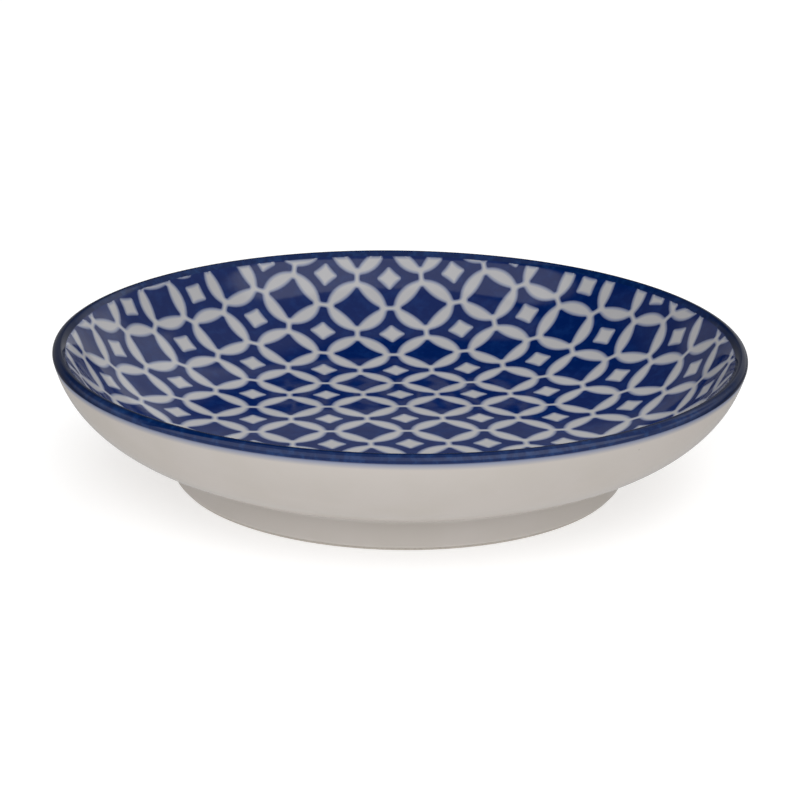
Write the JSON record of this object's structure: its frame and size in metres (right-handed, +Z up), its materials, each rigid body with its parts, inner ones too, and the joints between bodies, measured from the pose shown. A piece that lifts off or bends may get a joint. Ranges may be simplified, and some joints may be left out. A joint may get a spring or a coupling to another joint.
{
  "type": "soy sauce dish",
  "caption": "Small round footed soy sauce dish in glazed porcelain, with a cobalt print of interlaced circles inside and a cobalt band over the lip.",
  "frame": {"origin": "middle of the foot ring, on the surface that the dish stands on", "axes": "+Z up along the dish's axis, +X to the right in the picture, +Y away from the viewer"},
  "size_m": [0.095, 0.095, 0.0189],
  "materials": {
    "clay_body": "fired porcelain clay, covered by glaze all over",
    "bare_foot": "bare fired clay, matt and slightly warm",
    "white_glaze": "clear glaze over white clay, high gloss",
    "cobalt_band": "cobalt line under clear glaze, high gloss",
    "cobalt_print": "cobalt print under clear glaze, high gloss"
  },
  "bodies": {
    "root": {"porcelain_body": "clay_body", "foot_ring": "bare_foot", "well_glaze": "white_glaze", "outer_glaze": "white_glaze", "base_glaze": "white_glaze", "rim_band": "cobalt_band", "star_print": "cobalt_print", "frame_print": "cobalt_print"}
  },
  "joints": []
}
